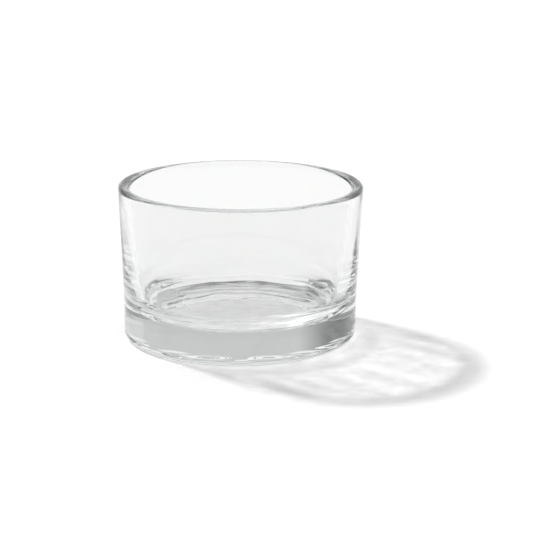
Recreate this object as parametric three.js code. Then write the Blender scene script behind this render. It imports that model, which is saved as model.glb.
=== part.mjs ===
// A pressed-glass tealight holder: a shallow tumbler in one piece of clear soda-lime glass.
// It has a thick base, a straight foot, a gently flared wall and a rounded, fire-polished rim.
// Millimetres, +Z up, origin at the centre of the foot on the surface the holder stands on.
import * as THREE from "three";

// Driving dimensions
const RIM_RADIUS = 30; // outside, at the rim
const HEIGHT = 38;
const RIM_WALL = 2.9;
const RIM_OUTER_ROUND = 0.85; // rounding of the rim's outer edge
const RIM_INNER_ROUND = 1.5; // and of its inner edge
const FOOT_RADIUS = 28.9; // outside, straight up to FOOT_HEIGHT
const FOOT_HEIGHT = 9.5;
const HEEL_RADIUS = 1.5; // rounding under the foot
const BASE_THICKNESS = 6; // table to inner floor
const WELL_FOOT_RADIUS = 25.1; // inner wall, where it meets the corner at the floor
const WELL_FOOT_HEIGHT = 12.5;
const WELL_FLOOR_RADIUS = 14.5; // the level part of the inner floor
const CORNER_ROUND = 0.55; // share of the corner's reach over which it leaves the wall and the floor
const WELL_SWELL = 0.45; // how much the inner wall draws in just above the corner
const RECESS_RADIUS = 24.4; // shallow recess under the base, inside the standing ring
const RECESS_DEPTH = 0.5; // at its edge
const RECESS_SAG = 0.4; // how much lower its middle hangs
const RECESS_SLOPE = 1.2; // width of the slope between recess and ring
const KNEE_REACH = 3; // height over which the straight foot turns into the flared wall

// Smoothness of the solid
const TURNS = 96; // facets round the holder
const ARC_STEPS = 6; // steps in each small rounding
const CORNER_STEPS = 14;
const WALL_STEPS = 10;

const point = (radius, height) => new THREE.Vector2(radius, height);

// Adds the points of a rounded stretch: an arc about (radius, height) between two angles in degrees.
function addArc(points, centreRadius, centreHeight, round, fromDegrees, toDegrees) {
  for (let i = 0; i <= ARC_STEPS; i++) {
    const angle = THREE.MathUtils.degToRad(fromDegrees + ((toDegrees - fromDegrees) * i) / ARC_STEPS);
    points.push(point(centreRadius + round * Math.cos(angle), centreHeight + round * Math.sin(angle)));
  }
}

// The underside: a shallow recess whose middle hangs a little, and the slope from it to the standing ring.
function addUnderside(points) {
  const edge = RECESS_RADIUS - RECESS_SLOPE;
  for (let i = 0; i < ARC_STEPS; i++) {
    const share = i / ARC_STEPS;
    points.push(point(edge * share, RECESS_DEPTH - RECESS_SAG * (1 - share * share)));
  }
  const slope = new THREE.QuadraticBezierCurve(
    point(edge, RECESS_DEPTH),
    point(edge + RECESS_SLOPE / 2, 0),
    point(RECESS_RADIUS, 0),
  );
  points.push(...slope.getPoints(ARC_STEPS));
}

// The outside: the heel, the straight foot and the knee, up to where the rim's rounding starts.
function addOutside(points) {
  addArc(points, FOOT_RADIUS - HEEL_RADIUS, HEEL_RADIUS, HEEL_RADIUS, -90, 0);
  const flare = (RIM_RADIUS - FOOT_RADIUS) / (HEIGHT - RIM_OUTER_ROUND - FOOT_HEIGHT);
  const knee = new THREE.QuadraticBezierCurve(
    point(FOOT_RADIUS, FOOT_HEIGHT - KNEE_REACH),
    point(FOOT_RADIUS, FOOT_HEIGHT),
    point(FOOT_RADIUS + flare * KNEE_REACH, FOOT_HEIGHT + KNEE_REACH),
  );
  points.push(...knee.getPoints(ARC_STEPS));
}

// The rim: a narrow level top between its outer and inner roundings.
function addRim(points) {
  addArc(points, RIM_RADIUS - RIM_OUTER_ROUND, HEIGHT - RIM_OUTER_ROUND, RIM_OUTER_ROUND, 0, 90);
  const innerMiddle = RIM_RADIUS - RIM_WALL + RIM_INNER_ROUND;
  addArc(points, innerMiddle, HEIGHT - RIM_INNER_ROUND, RIM_INNER_ROUND, 90, 180);
}

// The inside: the wall, which tapers and draws in towards the bottom, the wide corner and the floor.
function addInside(points) {
  const mouth = RIM_RADIUS - RIM_WALL;
  const wallTop = HEIGHT - RIM_INNER_ROUND;
  const wallHeight = wallTop - WELL_FOOT_HEIGHT;
  const taper = mouth - WELL_FOOT_RADIUS - WELL_SWELL;
  for (let i = 1; i < WALL_STEPS; i++) {
    const down = i / WALL_STEPS;
    points.push(point(mouth - taper * down - WELL_SWELL * down ** 4, wallTop - wallHeight * down));
  }
  const lean = (taper + 4 * WELL_SWELL) / wallHeight;
  const drop = CORNER_ROUND * (WELL_FOOT_HEIGHT - BASE_THICKNESS);
  const reach = CORNER_ROUND * (WELL_FOOT_RADIUS - WELL_FLOOR_RADIUS);
  const corner = new THREE.CubicBezierCurve(
    point(WELL_FOOT_RADIUS, WELL_FOOT_HEIGHT),
    point(WELL_FOOT_RADIUS - lean * drop, WELL_FOOT_HEIGHT - drop),
    point(WELL_FLOOR_RADIUS + reach, BASE_THICKNESS),
    point(WELL_FLOOR_RADIUS, BASE_THICKNESS),
  );
  points.push(...corner.getPoints(CORNER_STEPS));
  points.push(point(0, BASE_THICKNESS));
}

// The glass, turned about the axis.
function makeGlass() {
  const outline = [];
  addUnderside(outline);
  addOutside(outline);
  addRim(outline);
  addInside(outline);
  const geometry = new THREE.LatheGeometry(outline, TURNS).rotateX(Math.PI / 2);
  const glass = new THREE.MeshStandardMaterial({
    color: 0xeef3f0,
    roughness: 0.05,
    metalness: 0,
    transparent: true,
    opacity: 0.35,
  });
  const mesh = new THREE.Mesh(geometry, glass);
  mesh.name = "glass_cup";
  return mesh;
}

const holder = new THREE.Group();
holder.add(makeGlass());

export default holder;
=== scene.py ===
import itertools
import math
from random import Random

import bpy
import numpy as np
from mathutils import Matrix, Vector
from mathutils.bvhtree import BVHTree


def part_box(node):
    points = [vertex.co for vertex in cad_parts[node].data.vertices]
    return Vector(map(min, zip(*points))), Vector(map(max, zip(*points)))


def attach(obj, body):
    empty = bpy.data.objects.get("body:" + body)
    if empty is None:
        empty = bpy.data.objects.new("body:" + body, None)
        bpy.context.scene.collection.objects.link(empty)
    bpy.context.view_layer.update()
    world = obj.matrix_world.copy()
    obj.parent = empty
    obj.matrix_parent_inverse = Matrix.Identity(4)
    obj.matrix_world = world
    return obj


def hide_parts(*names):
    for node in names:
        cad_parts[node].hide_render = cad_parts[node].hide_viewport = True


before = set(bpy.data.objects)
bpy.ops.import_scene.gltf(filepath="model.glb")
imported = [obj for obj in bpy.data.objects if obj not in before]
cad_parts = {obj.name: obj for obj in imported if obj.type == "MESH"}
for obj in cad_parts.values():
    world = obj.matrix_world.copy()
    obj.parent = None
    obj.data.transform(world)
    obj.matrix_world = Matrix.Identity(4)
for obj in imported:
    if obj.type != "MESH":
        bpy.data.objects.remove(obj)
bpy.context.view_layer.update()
CUP_LOW, CUP_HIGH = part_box("glass_cup")

MM = 0.001  # metres in a millimetre

# The cup's outline, in millimetres
RIM_RADIUS = (CUP_HIGH.x - CUP_LOW.x) / 2 / MM
HEIGHT = (CUP_HIGH.z - CUP_LOW.z) / MM
RIM_WALL = 2.9
RIM_OUTER_ROUND = 0.85  # rounding of the rim's outer edge
RIM_INNER_ROUND = 1.5  # and of its inner edge
FOOT_RADIUS = 28.9  # outside, straight up to FOOT_HEIGHT
FOOT_HEIGHT = 9.5
HEEL_RADIUS = 1.5  # rounding under the foot
BASE_THICKNESS = 6.0  # table to inner floor
WELL_FOOT_RADIUS = 25.1  # inner wall, where it meets the corner at the floor
WELL_FOOT_HEIGHT = 12.5
WELL_FLOOR_RADIUS = 14.5  # the level part of the inner floor
CORNER_ROUND = 0.55  # share of the corner's reach over which it leaves the wall and the floor
WELL_SWELL = 0.45  # how much the inner wall draws in just above the corner
RECESS_RADIUS = 24.4  # shallow recess under the base, inside the standing ring
RECESS_DEPTH = 0.5  # at its edge
RECESS_SAG = 0.4  # how much lower its middle hangs
RECESS_SLOPE = 1.2  # width of the slope between recess and ring
KNEE_REACH = 3.0  # height over which the straight foot turns into the flared wall

# The glass mesh
TURNS = 270
POINT_STEP = 0.45  # distance between outline points on straight stretches
FLOOR_STEP = 0.22  # the same on the well's floor, for its fine rings
SLOPE_STEPS = 6
ARC_STEPS = 14
CORNER_STEPS = 56

# The unevenness of pressed glass: lengths and heights in millimetres, counts in waves round the cup.
# A pair gives the radii or heights between which something sets in or dies away.
SEED = 7
LEAN = 0.33  # how far the rim stands off the foot's axis
TILT = 0.005  # how much the rim falls to one side, for each millimetre across
FLUTE_WAVES = range(12, 23)
FLUTE_HEIGHT = 0.016  # upright waves in the wall
FLUTE_TOP = (HEIGHT - 6, HEIGHT - 1.5)
INNER_FLUTE_FOOT = (WELL_FOOT_HEIGHT - 2, WELL_FOOT_HEIGHT + 6)
OUTER_FLUTE_FOOT = (3.0, 8.0)
OUTER_FLUTE_SHARE = 0.3  # of the inner ones' height
CORNER_WAVES = range(3, 14)
CORNER_HEIGHT = 0.05  # slow rise and fall of the corner round the floor
CORNER_SPREAD = 3.2  # how far up the corner it goes
CORNER_START = (12.0, 20.0)
RIPPLE_HEIGHT = 0.028  # fine rings round the corner
RIPPLE_LENGTH = 2.1
RIPPLE_WANDER = 0.3
RIPPLE_START = (12.0, 16.0)
RIPPLE_TOP = (8.0, 11.0)
MOTTLE_HEIGHT = 0.01  # dimples of the floor and the underside
MOTTLE_LENGTHS = (8.0, 22.0)  # shortest and longest
MOTTLE_WAVES = 24
FLOOR_MOTTLE_END = (14.0, 20.0)
UNDER_MOTTLE_END = (20.0, 24.0)
FLOW_RINGS = [  # rings left in the floor as the glass spread: how far they reach back, aside and forward
    (17.6, 21.2, 19.6),
    (14.6, 19.8, 18.6),
    (10.8, 18.4, 17.8),
    (5.6, 17.0, 17.0),
]
FLOW_HEIGHT = 0.17
FLOW_WIDTH = 0.75  # from a ridge's crest to well down its side
FLOW_WAVES = range(2, 9)
FLOW_WANDER = 0.4  # how far a ridge strays from its ellipse
UNDER_WAVES = range(3, 10)
UNDER_FINE_WAVES = range(8, 15)
UNDER_HEIGHT = 0.1  # rise and fall of the underside near the edge of its recess, of each kind of wave
UNDER_START = (17.0, 22.0)

# The camera
CAMERA_DISTANCE = 0.4  # metres from the point it aims at
CAMERA_ELEVATION = 14.95  # degrees
VIEW_WIDTH = 2.207  # rim diameters across the picture
AIM_RIGHT = 0.1105  # rim diameters from the axis to the middle of the picture
AIM_HEIGHT = 0.4435  # of the cup's height
SENSOR = 36.0  # millimetres
CLIP_RANGE = (0.01, 100)  # metres

# The glass as a material: clear and nearly even. Sizes in millimetres.
CORD_SIZE = 9.0  # clouds of faintly cooler and warmer glass
CORD_DETAIL = 2  # levels of ever finer clouds
TINT_COOL = (0.913, 0.921, 0.919)
TINT_WARM = (0.922, 0.92, 0.915)
HAZE_SIZE = 4.0  # clouds of faint haze
HAZE_DETAIL = 4
HAZE = (0.0, 0.012)  # least and most roughness
NOISE_SPAN = (0.35, 0.65)  # the noise values that stand for none and all of a cloud
ABSORPTION_COLOR = (0.82, 0.86, 0.855)
ABSORPTION_DENSITY = 10.0

# The surroundings: tones by height above the horizon, and by closeness to a direction
SKY_TONES = [(0.0, 0.68), (0.3, 0.66), (0.6, 0.56), (1.0, 0.9)]
SIDE_HEIGHT = 0.15  # of the middles of the dark and the bright side
DARK_SIDE_TURN = math.radians(62)  # from the middle of the backdrop to the left
DARK_SIDE = (-math.sin(DARK_SIDE_TURN), math.cos(DARK_SIDE_TURN), SIDE_HEIGHT)
DARK_SIDE_TONES = [(0.77, 1.0), (0.92, 0.33)]
BRIGHT_SIDE_TURN = math.radians(85)  # and to the right
BRIGHT_SIDE = (math.sin(BRIGHT_SIDE_TURN), math.cos(BRIGHT_SIDE_TURN), SIDE_HEIGHT)
BRIGHT_SIDE_TONES = [(0.75, 1.0), (0.77, 1.2)]
FRONT = (0, -1, 0.25)
FRONT_TONES = [(0.0, 1.0), (0.7, 0.4)]
HORIZON = (0.11, 0.2)  # heights between which the white horizon fades into the sky
HORIZON_TONE = 1.01
SKY_STRENGTH = 1.0

# The light
KEY_DIRECTION = Vector((-27.2, 24.5, 38)).normalized()  # towards the light
KEY_ANGLE = 6.8  # degrees across
KEY_STRENGTH = 2.79
FLOOR_ALBEDO = 0.9
FLOOR_REACH = 8.0  # half the side of the floor, in metres
FLOOR_INNER_REACH = 1.0  # half the side of its middle part
FLOOR_GAP = 0.02 * MM  # between the floor and the cup's foot

# The key light's way through the glass to the floor
GLASS_IOR = 1.52
GLASS_TONE = 0.92  # share of the light left after it has entered and left once
RAY_STEP = 0.13 * MM  # spacing of the rays followed
RAY_START = 0.2  # metres before the cup
SKIN = 1e-7  # metres that a ray is moved on from a surface before it goes on
PATCH_STEP = 0.5 * MM  # spacing of the floor's points where the light lands
PATCH_REACH = 90 * MM  # half the side of that stretch of floor
BASE_FILL = 1.0  # share of the light missing under the base that glass and table give back to it
FILL_REACH = 45.0  # where that share has faded to none, in millimetres from the axis
LIGHT_SPREAD = 0.7 * MM  # how far each ray's light is spread when it lands
MAX_TURNS = 10  # reflections and refractions followed
SHALLOWEST = 0.01  # a ray that sinks by less than this share of its way isn't followed to the floor


def arc(middle_r, middle_z, radius, from_degrees, to_degrees, steps):
    """Points of an arc in the outline's plane, from one angle to another."""
    angles = np.radians(np.linspace(from_degrees, to_degrees, steps + 1))
    return np.stack([middle_r + radius * np.cos(angles), middle_z + radius * np.sin(angles)], axis=1)


def line(start, end):
    """Points of a straight stretch, both ends left out."""
    start, end = np.array(start, float), np.array(end, float)
    steps = max(2, round(float(np.linalg.norm(end - start)) / POINT_STEP))
    shares = np.arange(1, steps)[:, None] / steps
    return start + (end - start) * shares


def bend(start, turn, end, steps):
    """Points of a smooth bend from one point to another, heading for the turn's point from both."""
    start, turn, end = np.array(start, float), np.array(turn, float), np.array(end, float)
    t = np.linspace(0, 1, steps + 1)[:, None]
    return (1 - t) ** 2 * start + 2 * t * (1 - t) * turn + t**2 * end


def curve(start, leave, arrive, end, steps):
    """Points of a curve that leaves its start towards one point and comes to its end from another."""
    start, leave, arrive, end = (np.array(p, float) for p in (start, leave, arrive, end))
    t = np.linspace(0, 1, steps + 1)[:, None]
    return (1 - t) ** 3 * start + 3 * t * (1 - t) ** 2 * leave + 3 * t**2 * (1 - t) * arrive + t**3 * end


def cup_outline():
    """The outline: from the underside's middle up the outside, over the rim, down to the floor's middle."""
    flare = (RIM_RADIUS - FOOT_RADIUS) / (HEIGHT - RIM_OUTER_ROUND - FOOT_HEIGHT)
    recess_edge = (RECESS_RADIUS - RECESS_SLOPE, RECESS_DEPTH)
    outward = np.linspace(0, recess_edge[0], round(recess_edge[0] / POINT_STEP))[:-1]
    sag = RECESS_SAG * (1 - (outward / recess_edge[0]) ** 2)
    underside = np.stack([outward, RECESS_DEPTH - sag], axis=1)
    recess_turn = (RECESS_RADIUS - RECESS_SLOPE / 2, 0)
    slope = bend(recess_edge, recess_turn, (RECESS_RADIUS, 0), SLOPE_STEPS)
    heel = arc(FOOT_RADIUS - HEEL_RADIUS, HEEL_RADIUS, HEEL_RADIUS, -90, 0, ARC_STEPS)
    knee_end = (FOOT_RADIUS + flare * KNEE_REACH, FOOT_HEIGHT + KNEE_REACH)
    knee = bend((FOOT_RADIUS, FOOT_HEIGHT - KNEE_REACH), (FOOT_RADIUS, FOOT_HEIGHT), knee_end, ARC_STEPS)
    outer_middle = (RIM_RADIUS - RIM_OUTER_ROUND, HEIGHT - RIM_OUTER_ROUND)
    rim_outer = arc(*outer_middle, RIM_OUTER_ROUND, 0, 90, ARC_STEPS)
    mouth = RIM_RADIUS - RIM_WALL
    wall_top = HEIGHT - RIM_INNER_ROUND
    rim_inner = arc(mouth + RIM_INNER_ROUND, wall_top, RIM_INNER_ROUND, 90, 180, ARC_STEPS)
    wall_height = wall_top - WELL_FOOT_HEIGHT
    down = np.linspace(0, 1, round(wall_height / POINT_STEP))[1:-1]
    taper = mouth - WELL_FOOT_RADIUS - WELL_SWELL
    wall_radius = mouth - taper * down - WELL_SWELL * down**4
    inner_wall = np.stack([wall_radius, wall_top - wall_height * down], axis=1)
    lean = (taper + 4 * WELL_SWELL) / wall_height
    drop = CORNER_ROUND * (WELL_FOOT_HEIGHT - BASE_THICKNESS)
    reach = CORNER_ROUND * (WELL_FOOT_RADIUS - WELL_FLOOR_RADIUS)
    corner = curve(
        (WELL_FOOT_RADIUS, WELL_FOOT_HEIGHT),
        (WELL_FOOT_RADIUS - lean * drop, WELL_FOOT_HEIGHT - drop),
        (WELL_FLOOR_RADIUS + reach, BASE_THICKNESS),
        (WELL_FLOOR_RADIUS, BASE_THICKNESS),
        CORNER_STEPS,
    )
    inward = np.linspace(WELL_FLOOR_RADIUS, 0, round(WELL_FLOOR_RADIUS / FLOOR_STEP))
    floor = np.stack([inward, np.full_like(inward, BASE_THICKNESS)], axis=1)
    pieces = [
        underside,
        slope,
        line(slope[-1], heel[0]),
        heel,
        line(heel[-1], knee[0]),
        knee,
        line(knee[-1], rim_outer[0]),
        rim_outer,
        line(rim_outer[-1], rim_inner[0]),
        rim_inner,
        inner_wall,
        corner,
        floor[1:],
    ]
    return np.concatenate(pieces)


def sum_of_waves(random, counts, angles):
    """A smooth random wave round the cup, of about unit height."""
    total = np.zeros_like(angles)
    for count in counts:
        total += random.normal() * np.cos(count * angles + random.uniform(0, 2 * math.pi))
    return total / math.sqrt(len(counts) / 2)


def mottle(random, x, y):
    """Smooth random dimples over a level face, of about unit height."""
    total = np.zeros_like(x)
    for _ in range(MOTTLE_WAVES):
        length = random.uniform(*MOTTLE_LENGTHS)
        heading = random.uniform(0, math.pi)
        phase = random.uniform(0, 2 * math.pi)
        total += np.cos(2 * math.pi / length * (x * math.cos(heading) + y * math.sin(heading)) + phase)
    return total / math.sqrt(MOTTLE_WAVES / 2)


def fade(value, span):
    """Rises smoothly from 0 to 1 over a span."""
    share = np.clip((value - span[0]) / (span[1] - span[0]), 0, 1)
    return share * share * (3 - 2 * share)


def flutes(random, rise, angles):
    """Upright waves that change from one pattern at the foot to another at the rim."""
    low = sum_of_waves(random, FLUTE_WAVES, angles)
    high = sum_of_waves(random, FLUTE_WAVES, angles)
    return low * (1 - rise) + high * rise


def flow_rings(random, x, y, angles):
    """Nested ridges, each an ellipse whose middle lies off the axis and whose way round wanders a little."""
    total = 0
    for back, aside, front in FLOW_RINGS:
        across, middle = (back + front) / 2, (back - front) / 2
        beyond = (np.hypot(x / aside, (y - middle) / across) - 1) * (aside + across) / 2
        beyond = beyond + FLOW_WANDER * sum_of_waves(random, FLOW_WAVES, angles)
        total = total + np.exp(-((beyond / FLOW_WIDTH) ** 2))
    return total


def unevenness(outline, angles):
    """How far each point of the glass stands off the true outline, in millimetres."""
    random = np.random.default_rng(SEED)
    r, z = outline[:, :1], outline[:, 1:]
    x, y = r * np.cos(angles), r * np.sin(angles)
    rise = z / HEIGHT
    steps = np.linalg.norm(np.diff(outline, axis=0, prepend=outline[:1]), axis=1)
    along = np.cumsum(steps)[:, None]
    inner = along > along[np.argmax(outline[:, 1])]
    in_well = inner * (z < WELL_FOOT_HEIGHT)

    below_rim = 1 - fade(z, FLUTE_TOP)
    inner_flutes = inner * fade(z, INNER_FLUTE_FOOT) * below_rim * flutes(random, rise, angles)
    outer_flutes = ~inner * fade(z, OUTER_FLUTE_FOOT) * below_rim * flutes(random, rise, angles)

    near_corner = inner * np.exp(-(((z - BASE_THICKNESS) / CORNER_SPREAD) ** 2)) * fade(r, CORNER_START)
    corner = near_corner * sum_of_waves(random, CORNER_WAVES, angles)
    wander = RIPPLE_WANDER * sum_of_waves(random, CORNER_WAVES, angles)
    ripples = np.cos(2 * math.pi * (along + wander) / RIPPLE_LENGTH)
    ripples = ripples * inner * fade(r, RIPPLE_START) * (1 - fade(z, RIPPLE_TOP))

    dimples = in_well * (1 - fade(r, FLOOR_MOTTLE_END)) * mottle(random, x, y)
    dimples += ~inner * (1 - fade(r, UNDER_MOTTLE_END)) * mottle(random, x, y)

    under_waves = sum_of_waves(random, UNDER_WAVES, angles)
    flow = in_well * flow_rings(random, x, y, angles)
    under_waves = under_waves + sum_of_waves(random, UNDER_FINE_WAVES, angles)
    slope = (RECESS_RADIUS - RECESS_SLOPE, RECESS_RADIUS)
    at_edge = ~inner * fade(r, UNDER_START) * (1 - fade(r, slope))
    return (
        FLUTE_HEIGHT * (inner_flutes + OUTER_FLUTE_SHARE * outer_flutes)
        + CORNER_HEIGHT * corner
        + RIPPLE_HEIGHT * ripples
        + MOTTLE_HEIGHT * dimples
        + FLOW_HEIGHT * flow
        + UNDER_HEIGHT * at_edge * under_waves
    )


def make_cup():
    """The glass: the outline turned about the axis with its unevenness, one closed smooth mesh."""
    outline = cup_outline()
    angles = np.arange(TURNS)[None, :] * 2 * math.pi / TURNS
    tangent = np.gradient(outline, axis=0)
    tangent /= np.linalg.norm(tangent, axis=1)[:, None]
    off = unevenness(outline, angles)
    r = outline[:, :1] + tangent[:, 1:] * off
    z = outline[:, 1:] - tangent[:, :1] * off
    x = r * np.cos(angles) + LEAN * z / HEIGHT
    z = np.maximum(z - TILT * x * z / HEIGHT, 0)  # nothing hangs below the table
    rings = np.stack([x, r * np.sin(angles), z], axis=2)[1:-1] * MM
    poles = [[0, 0, z[0].mean() * MM], [0, 0, z[-1].mean() * MM]]
    points = np.concatenate([rings.reshape(-1, 3), poles])
    under_pole, floor_pole = len(points) - 2, len(points) - 1
    faces = []
    for ring in range(len(rings) - 1):
        lower, upper = ring * TURNS, (ring + 1) * TURNS
        for i in range(TURNS):
            j = (i + 1) % TURNS
            faces.append((lower + i, lower + j, upper + j, upper + i))
    last = (len(rings) - 1) * TURNS
    for i in range(TURNS):
        j = (i + 1) % TURNS
        faces.append((under_pole, j, i))
        faces.append((floor_pole, last + i, last + j))
    mesh = bpy.data.meshes.new("cup_glass")
    mesh.from_pydata(points.tolist(), [], faces)
    mesh.update()
    mesh.shade_smooth()
    cup = bpy.data.objects.new("cup_glass", mesh)
    bpy.context.scene.collection.objects.link(cup)
    return cup


def glass_material():
    """Clear pressed glass: greenish only where it is thick, with faint cords and a faint haze."""
    material = bpy.data.materials.new("clear_glass")
    material.use_nodes = True
    nodes, links = material.node_tree.nodes, material.node_tree.links
    shader = nodes["Principled BSDF"]
    shader.inputs["Transmission Weight"].default_value = 1
    shader.inputs["IOR"].default_value = GLASS_IOR
    place = nodes.new("ShaderNodeTexCoord")

    def drift(size, detail, low, high):
        """A value that drifts over the glass between two others, in clouds of a size in millimetres."""
        noise = nodes.new("ShaderNodeTexNoise")
        noise.inputs["Scale"].default_value = 1 / (size * MM)
        noise.inputs["Detail"].default_value = detail
        links.new(place.outputs["Object"], noise.inputs["Vector"])
        spread = nodes.new("ShaderNodeMapRange")
        spread.inputs["From Min"].default_value = NOISE_SPAN[0]
        spread.inputs["From Max"].default_value = NOISE_SPAN[1]
        spread.inputs["To Min"].default_value = low
        spread.inputs["To Max"].default_value = high
        links.new(noise.outputs["Fac"], spread.inputs["Value"])
        return spread.outputs["Result"]

    tint = nodes.new("ShaderNodeMix")
    tint.data_type = "RGBA"
    tint.inputs["A"].default_value = (*TINT_COOL, 1)
    tint.inputs["B"].default_value = (*TINT_WARM, 1)
    links.new(drift(CORD_SIZE, CORD_DETAIL, 0, 1), tint.inputs["Factor"])
    links.new(tint.outputs["Result"], shader.inputs["Base Color"])
    links.new(drift(HAZE_SIZE, HAZE_DETAIL, *HAZE), shader.inputs["Roughness"])
    volume = nodes.new("ShaderNodeVolumeAbsorption")
    volume.inputs["Color"].default_value = (*ABSORPTION_COLOR, 1)
    volume.inputs["Density"].default_value = ABSORPTION_DENSITY
    links.new(volume.outputs["Volume"], nodes["Material Output"].inputs["Volume"])
    return material


def meet(direction, normal, random):
    """The way a ray goes on from the glass's surface: refracted, or reflected as often as glass reflects."""
    entering = direction.dot(normal) < 0
    facing = normal if entering else -normal
    ratio = 1 / GLASS_IOR if entering else GLASS_IOR
    cosine = -direction.dot(facing)
    under_root = 1 - ratio * ratio * (1 - cosine * cosine)
    if under_root > 0:
        far_cosine = math.sqrt(under_root)
        across = (cosine - ratio * far_cosine) / (cosine + ratio * far_cosine)
        along = (ratio * cosine - far_cosine) / (ratio * cosine + far_cosine)
        if random.random() >= (across * across + along * along) / 2:
            return (direction * ratio + facing * (ratio * cosine - far_cosine)).normalized()
    return direction + facing * (2 * cosine)


def light_through(cup):
    """Where the key light lands after the glass has bent it, and where it would land without the glass.

    Gives the landing places and the light that each brings, the places without the glass, and the light
    that each of those stands for.
    """
    polygons = [tuple(p.vertices) for p in cup.data.polygons]
    tree = BVHTree.FromPolygons([v.co for v in cup.data.vertices], polygons)
    random = Random(SEED)
    down = -KEY_DIRECTION
    across = down.cross(Vector((0, 0, 1))).normalized()
    over = across.cross(down)
    corners = [Vector(c) for c in itertools.product(*zip(CUP_LOW, CUP_HIGH))]
    sides = [c.dot(across) for c in corners]
    tops = [c.dot(over) for c in corners]
    spread = math.radians(KEY_ANGLE) / 2
    step = RAY_STEP * 1
    landed, tones, shaded = [], [], []
    for i in range(math.ceil((max(sides) - min(sides)) / step)):
        for j in range(math.ceil((max(tops) - min(tops)) / step)):
            side = min(sides) + (i + random.random()) * step
            top = min(tops) + (j + random.random()) * step
            off = spread * math.sqrt(random.random())
            turn = random.uniform(0, 2 * math.pi)
            direction = down + across * (off * math.cos(turn)) + over * (off * math.sin(turn))
            direction.normalize()
            start = across * side + over * top - down * RAY_START
            hit, normal, _, _ = tree.ray_cast(start, direction)
            if hit is None:
                continue
            shaded.append((start - direction * (start.z / direction.z))[:2])
            tone = 1.0
            for _ in range(MAX_TURNS):
                before = direction
                direction = meet(direction, normal, random)
                if before.dot(normal) * direction.dot(normal) > 0:
                    tone *= math.sqrt(GLASS_TONE)
                start = hit + direction * SKIN
                hit, normal, _, _ = tree.ray_cast(start, direction)
                if hit is None:
                    break
            if hit is None and direction.z < -SHALLOWEST:
                landed.append((start - direction * (start.z / direction.z))[:2])
                tones.append(tone)
    share = step * step / KEY_DIRECTION.z
    return np.array(landed), np.array(tones) * share, np.array(shaded), share


def blur(grid, cells):
    """Spreads a grid's values with a bell-shaped weight of the given width in cells."""
    reach = math.ceil(3 * cells)
    weights = np.exp(-0.5 * (np.arange(-reach, reach + 1) / cells) ** 2)
    weights /= weights.sum()
    for axis in (0, 1):
        grid = np.apply_along_axis(np.convolve, axis, grid, weights, mode="same")
    return grid


def make_floor(cup):
    """A pale, matt studio floor. Near the cup its points carry the key light that the glass lets through."""
    near = np.arange(-PATCH_REACH, PATCH_REACH + PATCH_STEP / 2, PATCH_STEP)
    far = [FLOOR_INNER_REACH, FLOOR_REACH]
    lines = np.concatenate([[-far[1], -far[0]], near, far])
    landed, amounts, shaded, share = light_through(cup)
    edges = np.append(near, near[-1] + PATCH_STEP) - PATCH_STEP / 2
    gathered, _, _ = np.histogram2d(landed[:, 0], landed[:, 1], bins=[edges, edges], weights=amounts)
    shadow, _, _ = np.histogram2d(shaded[:, 0], shaded[:, 1], bins=[edges, edges])
    brightness = blur(gathered / PATCH_STEP**2, LIGHT_SPREAD / PATCH_STEP)
    darkness = blur(shadow * share / PATCH_STEP**2, LIGHT_SPREAD / PATCH_STEP)
    missing = np.clip(darkness - brightness, 0, None)
    from_axis = np.hypot(*np.meshgrid(near, near, indexing="ij")) / MM
    brightness += np.interp(from_axis, [RECESS_RADIUS, FILL_REACH], [BASE_FILL, 0]) * missing
    light = np.zeros((len(lines), len(lines)))
    light[2:-2, 2:-2] = brightness * FLOOR_ALBEDO * KEY_STRENGTH * KEY_DIRECTION.z / math.pi

    x, y = np.meshgrid(lines, lines, indexing="ij")
    points = np.stack([x, y, np.zeros_like(x)], axis=2).reshape(-1, 3)
    n = len(lines)
    first = (np.arange(n - 1)[:, None] * n + np.arange(n - 1)).reshape(-1)
    faces = np.stack([first, first + n, first + n + 1, first + 1], axis=1)
    mesh = bpy.data.meshes.new("studio_floor")
    mesh.from_pydata(points.tolist(), [], faces.tolist())
    carried = mesh.attributes.new("light_through_glass", "FLOAT", "POINT")
    carried.data.foreach_set("value", light.reshape(-1).astype(np.float32))
    floor = bpy.data.objects.new("studio_floor", mesh)
    floor.location.z = CUP_LOW.z - FLOOR_GAP
    bpy.context.scene.collection.objects.link(floor)

    material = bpy.data.materials.new("studio_floor")
    material.use_nodes = True
    nodes, links = material.node_tree.nodes, material.node_tree.links
    shader = nodes["Principled BSDF"]
    shader.inputs["Base Color"].default_value = (FLOOR_ALBEDO, FLOOR_ALBEDO, FLOOR_ALBEDO, 1)
    shader.inputs["Roughness"].default_value = 1
    shader.inputs["Specular IOR Level"].default_value = 0
    shader.inputs["Emission Color"].default_value = (1, 1, 1, 1)
    attribute = nodes.new("ShaderNodeAttribute")
    attribute.attribute_name = "light_through_glass"
    links.new(attribute.outputs["Fac"], shader.inputs["Emission Strength"])
    mesh.materials.append(material)
    return floor


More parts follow.
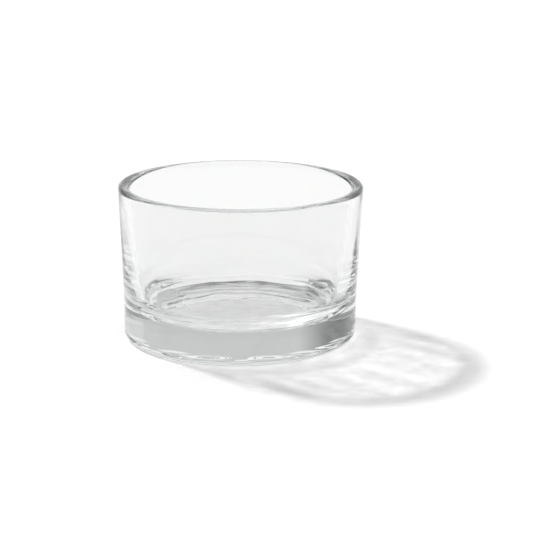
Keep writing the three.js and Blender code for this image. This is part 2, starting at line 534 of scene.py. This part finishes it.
def make_world():
    """Soft studio surroundings: white at the horizon and grey above it, darker behind the camera.

    They are darkest to the left of the backdrop and a little brighter on the right.
    """
    world = bpy.data.worlds.new("studio")
    bpy.context.scene.world = world
    world.use_nodes = True
    nodes, links = world.node_tree.nodes, world.node_tree.links

    def ramp(value, stops):
        node = nodes.new("ShaderNodeValToRGB")
        elements = node.color_ramp.elements
        while len(elements) < len(stops):
            elements.new(0.5)
        for element, (position, tone) in zip(elements, stops):
            element.position = position
            element.color = (tone, tone, tone, 1)
        links.new(value, node.inputs["Fac"])
        return node.outputs["Color"]

    def closeness(direction):
        node = nodes.new("ShaderNodeVectorMath")
        node.operation = "DOT_PRODUCT"
        links.new(place.outputs["Generated"], node.inputs[0])
        node.inputs[1].default_value = Vector(direction).normalized()
        return node.outputs["Value"]

    def product(first, second):
        node = nodes.new("ShaderNodeMix")
        node.data_type = "RGBA"
        node.blend_type = "MULTIPLY"
        node.inputs["Factor"].default_value = 1
        links.new(first, node.inputs["A"])
        links.new(second, node.inputs["B"])
        return node.outputs["Result"]

    place = nodes.new("ShaderNodeTexCoord")
    height = closeness((0, 0, 1))
    sky = ramp(height, SKY_TONES)
    dark_side = ramp(closeness(DARK_SIDE), DARK_SIDE_TONES)
    front = ramp(closeness(FRONT), FRONT_TONES)
    bright_side = ramp(closeness(BRIGHT_SIDE), BRIGHT_SIDE_TONES)
    shaded = product(product(product(sky, dark_side), bright_side), front)
    horizon = nodes.new("ShaderNodeMix")
    horizon.data_type = "RGBA"
    links.new(ramp(height, [(HORIZON[0], 1), (HORIZON[1], 0)]), horizon.inputs["Factor"])
    links.new(shaded, horizon.inputs["A"])
    horizon.inputs["B"].default_value = (HORIZON_TONE, HORIZON_TONE, HORIZON_TONE, 1)
    background = nodes["Background"]
    links.new(horizon.outputs["Result"], background.inputs["Color"])
    background.inputs["Strength"].default_value = SKY_STRENGTH


def make_key_light():
    """A broad lamp like the sun. The glass doesn't show it, and light_through follows its light there."""
    light = bpy.data.lights.new("key", "SUN")
    light.energy = KEY_STRENGTH
    light.angle = math.radians(KEY_ANGLE)
    key = bpy.data.objects.new("key", light)
    key.visible_glossy = False
    key.visible_transmission = False
    key.rotation_mode = "QUATERNION"
    key.rotation_quaternion = KEY_DIRECTION.to_track_quat("Z", "Y")
    bpy.context.scene.collection.objects.link(key)


def make_camera():
    """A close camera that looks down on the cup from the front."""
    data = bpy.data.cameras.new("camera")
    data.sensor_width = SENSOR
    data.lens = SENSOR * CAMERA_DISTANCE / (VIEW_WIDTH * 2 * RIM_RADIUS * MM)
    camera = bpy.data.objects.new("camera", data)
    aim = Vector((AIM_RIGHT * 2 * RIM_RADIUS * MM, 0, AIM_HEIGHT * HEIGHT * MM))
    tilt = math.radians(CAMERA_ELEVATION)
    back = Vector((0, -math.cos(tilt), math.sin(tilt)))
    camera.location = aim + back * CAMERA_DISTANCE
    camera.rotation_mode = "QUATERNION"
    camera.rotation_quaternion = back.to_track_quat("Z", "Y")
    data.clip_start, data.clip_end = CLIP_RANGE
    bpy.context.scene.collection.objects.link(camera)
    bpy.context.scene.camera = camera


def set_view():
    """Plain tones, and enough bounces for the light inside thick glass."""
    scene = bpy.context.scene
    scene.view_settings.view_transform = "Standard"
    scene.cycles.use_denoising = True
    scene.cycles.max_bounces = 24
    scene.cycles.transmission_bounces = 24
    scene.cycles.glossy_bounces = 12
    scene.cycles.diffuse_bounces = 4
    scene.cycles.caustics_refractive = True
    scene.cycles.caustics_reflective = True
    scene.cycles.sample_clamp_indirect = 4


make_camera()
cup = make_cup()
cup.data.materials.append(glass_material())
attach(cup, "root")
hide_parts("glass_cup")
make_floor(cup)
make_world()
make_key_light()
set_view()
